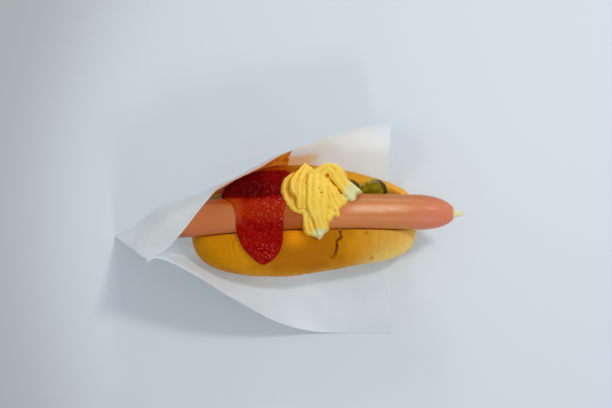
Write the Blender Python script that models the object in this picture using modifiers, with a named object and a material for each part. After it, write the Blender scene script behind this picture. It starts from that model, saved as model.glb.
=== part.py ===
"""A hot dog in its white paper sleeve, lying on its long fold with the mouth opened upwards.

The bun is slit along its top and holds a long sausage. Ketchup runs over both, a swirl of mustard sauce
lies beside it, and two slices of pickle are tucked behind the sausage. The frame's X runs along the sausage,
Y points to the back lobe of the bun, and Z is up. The origin lies under the middle of the bun, on the
surface that the sleeve rests on.
"""

import math

import bmesh
import bpy
from mathutils import Vector

MM = 0.001

# Bun
BUN_HALF_LENGTH = 75.6 * MM
BUN_BASE = 0.9 * MM
BUN_WAIST = 17.0 * MM
BUN_FRONT_HALF_WIDTH = 37.4 * MM
BUN_FRONT_NARROWING = 8.1 * MM
BUN_FRONT_NARROWS_ALONG = (-20.0 * MM, 50.0 * MM)
BUN_BACK_HALF_WIDTH = 38.3 * MM
BUN_BACK_RIGHT_NARROWING = 9.0 * MM
BUN_BACK_RIGHT_NARROWS_ALONG = (0.0, 70.0 * MM)
BUN_BACK_LEFT_NARROWING = 16.0 * MM
BUN_BACK_LEFT_NARROWS_ALONG = (15.0 * MM, 72.0 * MM)
BUN_FRONT_RISE = 22.0 * MM
BUN_BACK_RISE = 20.4 * MM
BUN_UNDER_DEPTH = 17.4 * MM
BUN_END_SHAPE = 3.5
BUN_CROWN_SHAPE = 2.4
BUN_UNDER_SHAPE = 3.5
BUN_SEGMENTS = 40
BUN_RINGS = 30
SLIT_CLEARANCE = 0.35 * MM
SLIT_FOOT_OUT = 7.0 * MM
SLIT_FOOT_DROP = 2.6 * MM
SLIT_BACK_SLOPE = 0.83
SLIT_TOP = 60.0 * MM
SLIT_OPEN_TO = 57.0 * MM
SLIT_SHUT_FROM = 74.0 * MM
SLIT_STATIONS = 17
SLIT_BACK_STEP = 6.0 * MM

# Cracks in the front crust, as (x, y) on the crust in millimetres, and their width and depth
CRACKS = (
    ((23.4, -9.0), (23.6, -14.0), (21.4, -17.5), (21.0, -22.5), (19.4, -27.0)),
    ((-45.5, -12.0), (-46.5, -19.0), (-45.5, -26.5)),
)
CRACK_WIDTH = 1.3 * MM
CRACK_DEPTH = 2.0 * MM

# Sausage
SAUSAGE_RADIUS = 11.5 * MM
SAUSAGE_AXIS_HEIGHT = 36.0 * MM
SAUSAGE_AXIS_SIDE = 3.7 * MM
SAUSAGE_BOW_AT = 35.0 * MM
SAUSAGE_BOW = 0.42
SAUSAGE_BEND_FROM = -60.0 * MM
SAUSAGE_BEND = 3.5
SAUSAGE_LIFT = 0.25
SAUSAGE_LEFT_TIP = -94.0 * MM
SAUSAGE_RIGHT_TIP = 99.2 * MM
SAUSAGE_TIP_LENGTH = 24.0 * MM
SAUSAGE_SEGMENTS = 28
LEFT_TAIL_LENGTH = 2.0 * MM
RIGHT_TAIL_LENGTH = 4.6 * MM
CASING_TAIL_RADIUS = 1.5 * MM

# Ketchup: its left and right edges at places along Y, all in millimetres, and how deep it lies
KETCHUP_EDGES = (
    (32.0, -24.0, -11.0),
    (28.0, -38.0, -9.0),
    (21.0, -50.5, -8.5),
    (14.0, -54.5, -9.5),
    (8.0, -47.0, -11.5),
    (0.0, -43.8, -13.0),
    (-9.0, -43.6, -13.4),
    (-16.0, -42.0, -14.0),
    (-22.0, -38.4, -15.6),
    (-27.0, -33.6, -18.8),
    (-31.0, -28.5, -25.0),
)
KETCHUP_ON_SAUSAGE = 1.5 * MM
KETCHUP_ON_CRUST = 3.6 * MM
KETCHUP_THICKENS_ALONG = (-6.0 * MM, -12.0 * MM)
KETCHUP_FILLET = 3.0 * MM
KETCHUP_POOL_LEVEL = 39.5 * MM
KETCHUP_POOL_STARTS_ALONG = (3.0 * MM, 12.0 * MM)
KETCHUP_POOL_BLEND = (0.1 * MM, 9.0 * MM)
KETCHUP_LIFT = 0.6 * MM
KETCHUP_UNDER = 5.0 * MM
KETCHUP_POOL_FLOOR = 22.0 * MM
KETCHUP_STATIONS = 22
KETCHUP_ACROSS = 12

# Mustard sauce: the middle line of each piped ribbon, and its half widths at the start, middle and end,
# all in millimetres
RIBBONS = (
    (((-4, 27, 42), (-9.4, 21, 44), (-9.5, 12, 45), (-5.5, 5.2, 46.5), (2, 3, 47)), (4.5, 5.6, 5)),
    (((0.5, 31.5, 43), (-2.5, 25, 47), (-3.2, 17, 49), (-2.2, 9, 49), (-0.8, 4.5, 48)), (1.8, 5.6, 4.6)),
    (((1.8, 3, 46), (2.6, -3, 44.5), (4.2, -8, 42), (7.4, -12, 39.8)), (4, 3.9, 2)),
    (
        ((10, 25, 50), (8.6, 18, 51), (8.4, 8, 50.6), (9.6, 0, 47.6), (11, -6, 43.8), (10.4, -12, 40.6)),
        (6, 6.9, 2.8),
    ),
    (((13.6, 22, 49), (17.5, 12, 49.6), (20.2, 3.5, 47.6)), (4, 6.4, 4.6)),
    (
        ((8.5, 24, 50), (12, 27.4, 51.6), (17, 28, 52), (21.4, 25.6, 51), (25.6, 19, 49), (32, 13.6, 46)),
        (5, 4.8, 4.4),
    ),
)
RIBBON_FLATNESS = 0.86
RIBBON_LOBES = 7
RIBBON_LOBE_DEPTH = 0.085
RIBBON_END_INSET = 0.06
RIBBON_END_BLUNTNESS = 2.2
RIBBON_SEGMENTS = 28
RIBBON_STATIONS = 11
HEAP_CENTRE = (8.0 * MM, 17.0 * MM, 42.0 * MM)
HEAP_RADII = (14.5 * MM, 14.5 * MM, 10.5 * MM)
SAUCE_GAP = 0.3 * MM

# Pickle slices
PICKLE_RADIUS = 8.7 * MM
PICKLE_THICKNESS = 2.6 * MM
PICKLE_RIM = 0.5 * MM
PICKLE_PLACES = ((29.0, 18.4, 30.9), (46.6, 18.2, 30.9))

# Paper sleeve: a pocket 190 mm long and 81 mm deep, shut along its fold and its left end
PAPER_THICKNESS = 0.5 * MM
SLEEVE_STATIONS = 34
SLEEVE_RISE_STEPS = 8
SLEEVE_FLOOR_STEPS = 2
SLEEVE_SEAM_GAP = 1.6 * MM
SLEEVE_SEAM_REACH = 0.12
SLEEVE_BELLY_SAG = -0.35
SLEEVE_FRONT_RIM = (
    (-95.5, -32.7, 70), (-87, -31, 72.3), (-64, -42, 63), (-40.5, -56, 45.5), (-16, -68.2, 19.5),
    (4, -73, 5.6), (24.5, -74.5, 0.6), (59.3, -74.5, 0.25),
)
SLEEVE_BACK_RIM = (
    (-95.5, -32.7, 70), (-82.5, -24, 69.5), (-61.2, 5.2, 62.5), (-51.8, 16.2, 58), (-28.1, 29.6, 53),
    (-11.6, 39.8, 49), (21.8, 53.8, 44), (58, 62.5, 42),
)
SLEEVE_FOLD = ((-131, -9, 0.25), (-94, -5, 0.25), (-60, 2, 0.25), (-20, 6, 0.25), (59, 6, 0.25))
SLEEVE_FRONT_FOOT = (
    (-131, -9, 0.25), (-112, -10.5, 0.25), (-92, -13, 0.25), (-62, -19, 0.25), (-38, -27, 0.25),
    (-14, -40, 0.25), (18, -52, 0.25), (59.3, -58, 0.25),
)
SLEEVE_BACK_FOOT = (
    (-131, -9, 0.25), (-120, -3.5, 0.25), (-105, 2.5, 0.25), (-85, 9.5, 0.25), (-68, 17.5, 0.25),
    (-54, 24, 0.25), (-36, 30, 0.25), (-8, 34, 0.25), (20, 33, 0.25), (59, 30, 0.25),
)
SLEEVE_FRONT_BULGE = (0, 1, 3.5, 7.5, 9.5, 8.5, 6, 3, 0.5, 0, 0)
SLEEVE_BACK_BULGE = (0, 15.5, 12.5, 6.5, 3.5, 5.5, 6.5, 5, 4, 4, 3)


def smoothstep(low, high, value):
    t = min(1.0, max(0.0, (value - low) / (high - low)))
    return t * t * (3 - 2 * t)


def smooth_max(a, b, blend):
    h = max(blend - abs(a - b), 0.0) / blend
    return max(a, b) + h * h * blend / 4


def along(points, t):
    """The point at share t of a smooth curve through the points (Catmull-Rom)."""
    last = len(points) - 1
    place = min(max(t, 0.0), 1.0) * last
    i = min(int(place), last - 1)
    f = place - i
    p1, p2 = Vector(points[i]), Vector(points[i + 1])
    p0 = Vector(points[i - 1]) if i else 2 * p1 - p2
    p3 = Vector(points[i + 2]) if i + 2 <= last else 2 * p2 - p1
    square = 2 * p0 - 5 * p1 + 4 * p2 - p3
    cube = 3 * p1 - 3 * p2 + p3 - p0
    return 0.5 * (2 * p1 + (p2 - p0) * f + square * f**2 + cube * f**3)


def by_distance(points, count):
    """Points spaced evenly by distance along the smooth curve through the given points."""
    fine = [along(points, i / 400) for i in range(401)]
    reach = [0.0]
    for a, b in zip(fine, fine[1:]):
        reach.append(reach[-1] + (b - a).length)
    spaced = []
    j = 0
    for i in range(count):
        wanted = reach[-1] * i / (count - 1)
        while j < 399 and reach[j + 1] < wanted:
            j += 1
        f = (wanted - reach[j]) / (reach[j + 1] - reach[j])
        spaced.append(fine[j].lerp(fine[j + 1], f))
    return spaced


def material(name, colour, roughness, metallic=0.0):
    made = bpy.data.materials.new(name)
    made.use_nodes = True
    shader = made.node_tree.nodes["Principled BSDF"]
    shader.inputs["Base Color"].default_value = (*colour, 1.0)
    shader.inputs["Roughness"].default_value = roughness
    shader.inputs["Metallic"].default_value = metallic
    return made


def add_object(name, shape, collection, finish=None):
    """Turns a bmesh into a named object with its faces pointing out."""
    bmesh.ops.recalc_face_normals(shape, faces=shape.faces[:])
    mesh = bpy.data.meshes.new(name)
    shape.to_mesh(mesh)
    shape.free()
    made = bpy.data.objects.new(name, mesh)
    collection.objects.link(made)
    if finish:
        mesh.materials.append(finish)
        mesh.shade_smooth()
        mesh.set_sharp_from_angle(angle=math.radians(45))
    return made


def loft(rings):
    """A closed skin through rings of points, each end closed by a fan round its middle."""
    shape = bmesh.new()
    loops = [[shape.verts.new(point) for point in ring] for ring in rings]
    for first, second in zip(loops, loops[1:]):
        for i, corner in enumerate(first):
            j = (i + 1) % len(first)
            shape.faces.new((corner, first[j], second[j], second[i]))
    for loop in (loops[0], loops[-1]):
        middle = shape.verts.new(sum((v.co for v in loop), Vector()) / len(loop))
        for i, corner in enumerate(loop):
            shape.faces.new((corner, loop[(i + 1) % len(loop)], middle))
    return shape


def cutter(name, shape, collection):
    made = add_object(name, shape, collection)
    made.display_type = "WIRE"
    made.hide_render = True
    return made


def cut(piece, tool):
    modifier = piece.modifiers.new("cut by " + tool.name, "BOOLEAN")
    modifier.operation = "DIFFERENCE"
    modifier.object = tool
    return modifier


def bake(piece):
    """Applies the piece's modifiers."""
    graph = bpy.context.evaluated_depsgraph_get()
    solid = bpy.data.meshes.new_from_object(piece.evaluated_get(graph))
    piece.modifiers.clear()
    piece.data = solid


def keep_largest(piece):
    """Drops the loose scraps that a cut leaves, and the skin of any sealed hollow."""
    shape = bmesh.new()
    shape.from_mesh(piece.data)
    bmesh.ops.remove_doubles(shape, verts=shape.verts[:], dist=0.00001)
    left = set(shape.faces)
    islands = []
    while left:
        island = [left.pop()]
        for face in island:
            for edge in face.edges:
                if len(edge.link_faces) == 2:
                    beside = left.intersection(edge.link_faces)
                    left -= beside
                    island.extend(beside)
        islands.append(island)
    islands.sort(key=lambda island: sum(face.calc_area() for face in island))
    for island in islands[:-1]:
        bmesh.ops.delete(shape, geom=island, context="FACES")
    shape.to_mesh(piece.data)
    shape.free()


def bun_half_width(x, side):
    if side < 0:
        return BUN_FRONT_HALF_WIDTH - BUN_FRONT_NARROWING * smoothstep(*BUN_FRONT_NARROWS_ALONG, x)
    if x < 0:
        return BUN_BACK_HALF_WIDTH - BUN_BACK_LEFT_NARROWING * smoothstep(*BUN_BACK_LEFT_NARROWS_ALONG, -x)
    return BUN_BACK_HALF_WIDTH - BUN_BACK_RIGHT_NARROWING * smoothstep(*BUN_BACK_RIGHT_NARROWS_ALONG, x)


def bun_taper(x):
    share = min(1.0, abs(x) / BUN_HALF_LENGTH)
    return (1 - share**BUN_END_SHAPE) ** (1 / BUN_END_SHAPE)


def crust_height(x, y):
    """The height of the uncut bun's crown over a place on the table."""
    taper = max(bun_taper(x), 1e-3)
    share = min(1.0, abs(y) / (bun_half_width(x, y) * taper))
    rise = BUN_FRONT_RISE if y < 0 else BUN_BACK_RISE
    return BUN_WAIST + rise * taper * (1 - share**BUN_CROWN_SHAPE) ** (1 / BUN_CROWN_SHAPE)


def sausage_axis(x):
    side = SAUSAGE_AXIS_SIDE - SAUSAGE_BOW * (x - SAUSAGE_BOW_AT) ** 2
    side -= SAUSAGE_BEND * max(0.0, SAUSAGE_BEND_FROM - x) ** 2
    height = SAUSAGE_AXIS_HEIGHT + SAUSAGE_LIFT * max(0.0, x - SAUSAGE_BOW_AT) ** 2
    return side, height


def signed_power(value, power):
    return math.copysign(abs(value) ** power, value)


def loaf(grow=0.0):
    """The uncut bun: a sphere with its poles at the ends, drawn out to the bun's blunt loaf shape."""
    shape = bmesh.new()
    bmesh.ops.create_uvsphere(shape, u_segments=BUN_SEGMENTS, v_segments=BUN_RINGS, radius=1.0)
    for vertex in shape.verts:
        across, up, length = vertex.co
        ring = math.hypot(across, up)
        x = (BUN_HALF_LENGTH + grow) * signed_power(length, 2 / BUN_END_SHAPE)
        taper = ring ** (2 / BUN_END_SHAPE)
        cosine, sine = (across / ring, up / ring) if ring > 1e-6 else (0.0, 0.0)
        power = 2 / (BUN_CROWN_SHAPE if up > 0 else BUN_UNDER_SHAPE)
        rise = BUN_FRONT_RISE if across < 0 else BUN_BACK_RISE
        if up < 0:
            rise = BUN_UNDER_DEPTH
        y = (bun_half_width(x, across) + grow) * taper * signed_power(cosine, power)
        z = BUN_WAIST + (rise + grow) * taper * signed_power(sine, power)
        vertex.co = (x, y, max(z, BUN_BASE - grow))
    return shape


def slit(shrink=0.0):
    """What the slit takes out of the bun: the sausage's bed, open above, and a slope up to the back lobe."""
    bed = SAUSAGE_RADIUS + SLIT_CLEARANCE - shrink
    rings = []
    for station in range(SLIT_STATIONS):
        x = BUN_HALF_LENGTH * 1.1 * (2 * station / (SLIT_STATIONS - 1) - 1)
        side, height = sausage_axis(x)
        opened = 1 - smoothstep(SLIT_OPEN_TO, SLIT_SHUT_FROM, abs(x))
        foot_z = height - bed - SLIT_FOOT_DROP
        ring = [(x, side - bed, SLIT_TOP)]
        for i in range(7):
            angle = math.radians(180 + 15 * i)
            ring.append((x, side + bed * math.cos(angle), height + bed * math.sin(angle)))
        for i in range(1, 7):
            angle = math.radians(270 + 15 * i)
            round_y, round_z = side + bed * math.cos(angle), height + bed * math.sin(angle)
            out = SLIT_FOOT_OUT * min(1.0, i / 2) + max(0, i - 2) * SLIT_BACK_STEP - shrink
            flat_z = foot_z + max(0.0, out + shrink - SLIT_FOOT_OUT) * SLIT_BACK_SLOPE + shrink
            y = round_y + (side + out - round_y) * opened
            ring.append((x, y, round_z + (flat_z - round_z) * opened))
        top_out = bed + (SLIT_FOOT_OUT + (SLIT_TOP - foot_z) / SLIT_BACK_SLOPE - bed) * opened
        ring.append((x, side + top_out, SLIT_TOP))
        rings.append(ring)
    return loft(rings)


def crack(points):
    """A wedge that follows a crack over the front crust."""
    rings = []
    for place in by_distance([(x, y, 0) for x, y in points], 9):
        x, y = place.x * MM, place.y * MM
        surface = crust_height(x, y)
        half = CRACK_WIDTH / 2
        left, right = (x - half, y, surface + half), (x + half, y, surface + half)
        rings.append([left, (x, y + half, surface - CRACK_DEPTH), right])
    return loft(rings)


def tube_rings(stations, segments):
    """Rings across a tube that runs along X by the sausage's axis, one for each (x, radius)."""
    rings = []
    for x, radius in stations:
        side, height = sausage_axis(x)
        turns = (2 * math.pi * i / segments for i in range(segments))
        rings.append([(x, side + radius * math.cos(a), height + radius * math.sin(a)) for a in turns])
    return rings


def sausage_end(tail_length, grow):
    """(inset from the tip, radius) from the twisted casing tail to the full body."""
    stations = [(-tail_length, CASING_TAIL_RADIUS), (-0.4 * tail_length, 0.8 * CASING_TAIL_RADIUS)]
    for i in range(7, 0, -1):
        angle = math.radians(90 * i / 8)
        inset = SAUSAGE_TIP_LENGTH * (1 - math.sin(angle))
        stations.append((inset, SAUSAGE_RADIUS * math.cos(angle) + grow))
    return stations


def sausage_stations(grow=0.0):
    """(x, radius) along the whole sausage."""
    left_end = sausage_end(LEFT_TAIL_LENGTH, grow)
    right_end = sausage_end(RIGHT_TAIL_LENGTH, grow)
    start, end = SAUSAGE_LEFT_TIP + SAUSAGE_TIP_LENGTH, SAUSAGE_RIGHT_TIP - SAUSAGE_TIP_LENGTH
    straight = [(start + (end - start) * i / 10, SAUSAGE_RADIUS + grow) for i in range(11)]
    return (
        [(SAUSAGE_LEFT_TIP + inset, radius) for inset, radius in left_end]
        + straight
        + [(SAUSAGE_RIGHT_TIP - inset, radius) for inset, radius in reversed(right_end)]
    )


def sausage_top(x, y):
    side, height = sausage_axis(x)
    reach = SAUSAGE_RADIUS**2 - (y - side) ** 2
    return height + math.sqrt(reach) if reach > 0 else 0.0


def ketchup_body():
    """Ketchup that fills the slit behind the sausage, coats it thinly and hangs over the front crust."""
    pool_from, pool_full = KETCHUP_POOL_STARTS_ALONG
    rings = []
    for station in range(KETCHUP_STATIONS):
        t = station / (KETCHUP_STATIONS - 1)
        y, left, right = (value * MM for value in along(KETCHUP_EDGES, t))
        ends = smoothstep(-0.02, 0.1, t) * smoothstep(1.01, 0.86, t)
        coat = KETCHUP_ON_SAUSAGE
        coat += (KETCHUP_ON_CRUST - KETCHUP_ON_SAUSAGE) * smoothstep(*KETCHUP_THICKENS_ALONG, y)
        top, under = [], []
        for i in range(KETCHUP_ACROSS + 1):
            s = i / KETCHUP_ACROSS
            x = left + (right - left) * (0.5 - 0.5 * math.cos(math.pi * s))
            share = min(1.0, (1 - (2 * s - 1) ** 4) * ends) ** 0.5
            base = smooth_max(sausage_top(x, y), ketchup_ground(x, y), KETCHUP_FILLET)
            level = base + coat
            if y > pool_from:
                blend = KETCHUP_POOL_BLEND[0] + KETCHUP_POOL_BLEND[1] * smoothstep(pool_from, pool_full, y)
                level = smooth_max(level, KETCHUP_POOL_LEVEL, blend)
            top.append((x, y, base + KETCHUP_LIFT + (level - base) * share))
            under.append((x, y, base - KETCHUP_UNDER if y < pool_full else KETCHUP_POOL_FLOOR))
        rings.append(top + under[::-1])
    return loft(rings)


def ketchup_ground(x, y):
    """The bun under the ketchup, with its slit's slope behind the sausage."""
    side, height = sausage_axis(x)
    slope = height - SAUSAGE_RADIUS - SLIT_FOOT_DROP + max(0.0, y - side - SLIT_FOOT_OUT) * SLIT_BACK_SLOPE
    return min(crust_height(x, y), slope) if y > side else crust_height(x, y)


def ribbon(points, half_widths):
    """A ribbon of sauce from a star nozzle: ridges run along it, and both ends are rounded."""
    centres = by_distance([Vector(p) * MM for p in points], RIBBON_STATIONS)
    rings = []
    for i, centre in enumerate(centres):
        t = i / (RIBBON_STATIONS - 1)
        ahead = centres[min(i + 1, RIBBON_STATIONS - 1)] - centres[max(i - 1, 0)]
        across = ahead.cross(Vector((0, 0, 1))).normalized()
        up = across.cross(ahead).normalized()
        width = along([(w, 0, 0) for w in half_widths], t)[0] * MM
        inside = RIBBON_END_INSET + (1 - 2 * RIBBON_END_INSET) * t
        width *= min(1.0, math.sin(math.pi * inside) * RIBBON_END_BLUNTNESS) ** 0.5
        ring = []
        for k in range(RIBBON_SEGMENTS):
            a = 2 * math.pi * k / RIBBON_SEGMENTS
            ridge = 1 - RIBBON_LOBE_DEPTH * (1 + math.cos(RIBBON_LOBES * a))
            ring.append(centre + width * ridge * (math.cos(a) * across + RIBBON_FLATNESS * math.sin(a) * up))
        rings.append(ring)
    return loft(rings)


def heap():
    """The sauce's hidden core, which the ribbons lie on."""
    shape = bmesh.new()
    bmesh.ops.create_uvsphere(shape, u_segments=20, v_segments=12, radius=1.0)
    bmesh.ops.scale(shape, vec=HEAP_RADII, verts=shape.verts[:])
    bmesh.ops.translate(shape, vec=HEAP_CENTRE, verts=shape.verts[:])
    return shape


def pickle_slice(name, place, finish, collection):
    """A round slice that leans on the slope of the slit's back wall."""
    bpy.ops.mesh.primitive_cylinder_add(vertices=32, radius=PICKLE_RADIUS, depth=PICKLE_THICKNESS)
    made = bpy.context.object
    made.name = name
    made.data.name = name
    made.users_collection[0].objects.unlink(made)
    collection.objects.link(made)
    made.location = Vector(place) * MM
    made.rotation_euler = (math.atan(SLIT_BACK_SLOPE), 0, 0)
    rim = made.modifiers.new("rim", "BEVEL")
    rim.width = PICKLE_RIM
    rim.segments = 1
    made.data.materials.append(finish)
    return made


def ply(fold, foot, rim, bulges, outward):
    """One side of the sleeve as rows of points: flat from the fold to the foot, then curved to the rim."""
    fold_line = by_distance(fold, SLEEVE_STATIONS)
    foot_line = by_distance(foot, SLEEVE_STATIONS)
    rim_line = by_distance(rim, SLEEVE_STATIONS)
    rows = []
    for i in range(SLEEVE_STATIONS):
        start, end, top = fold_line[i] * MM, foot_line[i] * MM, rim_line[i] * MM
        share = i / (SLEEVE_STATIONS - 1)
        bulge = along([(b, 0, 0) for b in bulges], share)[0] * MM
        belly = (end + top) / 2 + bulge * 2 * Vector((0, outward, SLEEVE_BELLY_SAG))
        apart = outward * SLEEVE_SEAM_GAP / 2 * (1 - smoothstep(0, SLEEVE_SEAM_REACH, share))
        row = [start.lerp(end, k / SLEEVE_FLOOR_STEPS) for k in range(SLEEVE_FLOOR_STEPS)]
        for k in range(SLEEVE_RISE_STEPS + 1):
            f = k / SLEEVE_RISE_STEPS
            point = end * (1 - f) ** 2 + belly * 2 * f * (1 - f) + top * f**2
            row.append(Vector((point.x, point.y + apart, max(point.z, PAPER_THICKNESS / 2))))
        rows.append(row)
    return rows


def sleeve_surface():
    """Both plies as one open sheet, joined along the fold and by a narrow seam at the left end."""
    front = ply(SLEEVE_FOLD, SLEEVE_FRONT_FOOT, SLEEVE_FRONT_RIM, SLEEVE_FRONT_BULGE, -1)
    back = ply(SLEEVE_FOLD, SLEEVE_BACK_FOOT, SLEEVE_BACK_RIM, SLEEVE_BACK_BULGE, 1)
    shape = bmesh.new()
    rows = [[shape.verts.new(p) for p in a[:0:-1] + b] for a, b in zip(front, back)]
    for first, second in zip(rows, rows[1:]):
        for j in range(len(first) - 1):
            shape.faces.new((first[j], first[j + 1], second[j + 1], second[j]))
    seam = rows[0]
    for j in range(len(seam) // 2):
        corners = [seam[j], seam[j + 1], seam[-2 - j], seam[-1 - j]]
        shape.faces.new(corners if corners[1] != corners[2] else [corners[0], corners[1], corners[3]])
    bmesh.ops.remove_doubles(shape, verts=shape.verts[:], dist=0.00005)
    return shape


def build():
    for old in list(bpy.data.objects):
        bpy.data.objects.remove(old)
    parts = bpy.data.collections.new("hot dog in a paper sleeve")
    tools = bpy.data.collections.new("cutters")
    bpy.context.scene.collection.children.link(parts)
    bpy.context.scene.collection.children.link(tools)

    crust = material("browned crust", (0.58, 0.29, 0.06), 0.55)
    skin = material("sausage skin", (0.56, 0.22, 0.12), 0.35)
    red = material("ketchup", (0.32, 0.008, 0.004), 0.25)
    yellow = material("mustard sauce", (0.90, 0.58, 0.10), 0.4)
    green = material("pickle", (0.22, 0.20, 0.02), 0.4)
    white = material("white paper", (0.78, 0.80, 0.84), 0.7)

    bun = add_object("bun", loaf(), parts, crust)
    cut(bun, cutter("slit_cutter", slit(), tools))
    for i, points in enumerate(CRACKS):
        cut(bun, cutter(f"crack_cutter_{i + 1}", crack(points), tools))

    add_object("sausage", loft(tube_rings(sausage_stations(), SAUSAGE_SEGMENTS)), parts, skin)

    thicker_sausage = loft(tube_rings(sausage_stations(SAUCE_GAP), SAUSAGE_SEGMENTS))
    around_sausage = cutter("sausage_gap", thicker_sausage, tools)
    around_bun = cutter("bun_gap", loaf(SAUCE_GAP), tools)
    cut(around_bun, cutter("bun_gap_slit", slit(SAUCE_GAP), tools))

    ketchup = add_object("ketchup", ketchup_body(), parts, red)
    cut(ketchup, around_sausage)
    cut(ketchup, around_bun)
    bake(ketchup)
    keep_largest(ketchup)

    swirls = bpy.data.collections.new("ribbons")
    tools.children.link(swirls)
    for i, (points, half_widths) in enumerate(RIBBONS):
        cutter(f"ribbon_{i + 1}", ribbon(points, half_widths), swirls)
    mustard = add_object("mustard_sauce", heap(), parts, yellow)
    joined = mustard.modifiers.new("ribbons", "BOOLEAN")
    joined.operation = "UNION"
    joined.operand_type = "COLLECTION"
    joined.collection = swirls
    joined.solver = "MANIFOLD"
    bake(mustard)
    keep_largest(mustard)
    for piece in list(swirls.objects):
        bpy.data.objects.remove(piece)
    cut(mustard, around_sausage)
    cut(mustard, around_bun)
    around_ketchup = cutter("ketchup_gap", ketchup_body(), tools)
    shell = around_ketchup.modifiers.new("gap", "DISPLACE")
    shell.mid_level = 0.0
    shell.strength = SAUCE_GAP
    cut(mustard, around_ketchup)
    bake(mustard)
    keep_largest(mustard)

    for i, place in enumerate(PICKLE_PLACES):
        pickle_slice(f"pickle_slice_{i + 1}", place, green, parts)

    sleeve = add_object("paper_sleeve", sleeve_surface(), parts, white)
    sheet = sleeve.modifiers.new("thickness", "SOLIDIFY")
    sheet.thickness = PAPER_THICKNESS
    sheet.offset = 0.0


build()
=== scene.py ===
from math import acos, atan, atan2, copysign, cos, exp, hypot, pi, radians, sin, sqrt

import bmesh
import bpy
import numpy as np
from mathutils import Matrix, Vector
from mathutils.noise import noise


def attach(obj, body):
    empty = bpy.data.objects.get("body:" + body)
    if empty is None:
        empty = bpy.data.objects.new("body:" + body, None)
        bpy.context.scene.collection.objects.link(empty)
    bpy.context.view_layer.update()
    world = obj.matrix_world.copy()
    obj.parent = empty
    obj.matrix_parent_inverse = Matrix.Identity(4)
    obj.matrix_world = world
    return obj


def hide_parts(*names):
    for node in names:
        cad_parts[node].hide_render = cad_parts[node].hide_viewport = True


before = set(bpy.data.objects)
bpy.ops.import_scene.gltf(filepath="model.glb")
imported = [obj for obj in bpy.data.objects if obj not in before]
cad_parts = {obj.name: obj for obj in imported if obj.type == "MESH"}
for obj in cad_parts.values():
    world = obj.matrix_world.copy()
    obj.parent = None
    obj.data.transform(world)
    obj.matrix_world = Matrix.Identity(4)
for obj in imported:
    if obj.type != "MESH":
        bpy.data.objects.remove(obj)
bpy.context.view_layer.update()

# Paper sleeve
# A pocket of thin white paper, shut along its long fold and its left end, and open at its top and right.
# It lies on the fold: the near side spreads out over the table, and the far side stands up behind the bun.
# Shapes and paint are worked out in mm, and the meshes are made in metres.
MM = 0.001
CURVE_STEPS = 400
SHEET_THICKNESS = 0.2
SHEET_REST = 0.12
SLEEVE_ROWS = 260
SLEEVE_RISE_STEPS = 44
SLEEVE_FLOOR_STEPS = 6
SLEEVE_SEAM_GAP = 1.2
SLEEVE_SEAM_REACH = 0.12
SLEEVE_BELLY_SAG = -0.35
SLEEVE_NEAR_RIM = (
    (-95.5, -32.7, 70), (-87, -31, 72.1), (-64, -42, 63), (-40.5, -56, 45.5), (-16, -68.2, 19.5),
    (4, -73, 5.6), (24.5, -74.4, 0.6), (59.3, -74.4, 0.25),
)
SLEEVE_FAR_RIM = (
    (-95.5, -32.7, 70), (-82.5, -24, 69.5), (-61.2, 5.2, 62.5), (-51.8, 16.2, 58), (-28.1, 29.6, 53),
    (-11.6, 39.8, 49), (21.8, 53.8, 44), (58, 62.5, 42),
)
SLEEVE_LOWEST = 0.25
SLEEVE_FOLD = ((-131, -9), (-94, -5), (-60, 2), (-20, 6), (59, 6))
SLEEVE_NEAR_FOOT = (
    (-131, -9), (-112, -10.5), (-92, -13), (-62, -19), (-38, -27), (-14, -40), (18, -52), (59.3, -58),
)
SLEEVE_FAR_FOOT = (
    (-131, -9), (-120, -3.5), (-105, 2.5), (-85, 9.5), (-68, 17.5), (-54, 24), (-36, 30), (-8, 34),
    (20, 33), (59, 30),
)
SLEEVE_NEAR_BULGE = (0, 1, 3.5, 7.5, 9.5, 8.5, 6, 3, 0.5, 0, 0)
SLEEVE_FAR_BULGE = (0, 15.5, 12.5, 6.5, 3.5, 5.5, 6.5, 5, 4, 4, 3)
SHEET_CLEARNESS = 0.42
SHEET_ROUGHNESS = 0.62
# How strongly the inside of the sheet glows: painted light.
SHEET_GLOW = 0.3
FIBRE_SIZE = 0.9
CLOUD_SIZE = 22
STAIN_LEFT = (-62, -52)
STAIN_RIGHT = (-6.5, -5.5)
STAIN_LOW = (36, 44)
GREASE_LEFT = (-60, -50)
GREASE_RIGHT = (8, 20)
GREASE_TOP = (23, 30)
GREASE_LOW = (38, 50)
SEAM_WELD = 0.02
SHEET_WAVES = ((0.55, 34), (0.1925, 12))
WAVES_FROM = (1, 14)


def smoothstep(low, high, value):
    t = min(1.0, max(0.0, (value - low) / (high - low)))
    return t * t * (3 - 2 * t)


def along(points, t):
    """The point at share t of a smooth curve through the points (Catmull-Rom)."""
    last = len(points) - 1
    place = min(max(t, 0.0), 1.0) * last
    i = min(int(place), last - 1)
    f = place - i
    p1, p2 = Vector(points[i]), Vector(points[i + 1])
    p0 = Vector(points[i - 1]) if i else 2 * p1 - p2
    p3 = Vector(points[i + 2]) if i + 2 <= last else 2 * p2 - p1
    square = 2 * p0 - 5 * p1 + 4 * p2 - p3
    cube = 3 * p1 - 3 * p2 + p3 - p0
    return 0.5 * (2 * p1 + (p2 - p0) * f + square * f**2 + cube * f**3)


def evenly(points, count):
    """Points spaced evenly by distance along a line of points."""
    reach = [0.0]
    for a, b in zip(points, points[1:]):
        reach.append(reach[-1] + (b - a).length)
    spaced = []
    j = 0
    for i in range(count):
        wanted = reach[-1] * i / (count - 1)
        while j < len(points) - 2 and reach[j + 1] < wanted:
            j += 1
        span = reach[j + 1] - reach[j]
        spaced.append(points[j].lerp(points[j + 1], (wanted - reach[j]) / span if span else 0.0))
    return spaced


def curve(points, count):
    """Evenly spaced points on the smooth curve through the given points."""
    return evenly([along(points, i / CURVE_STEPS) for i in range(CURVE_STEPS + 1)], count)


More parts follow.
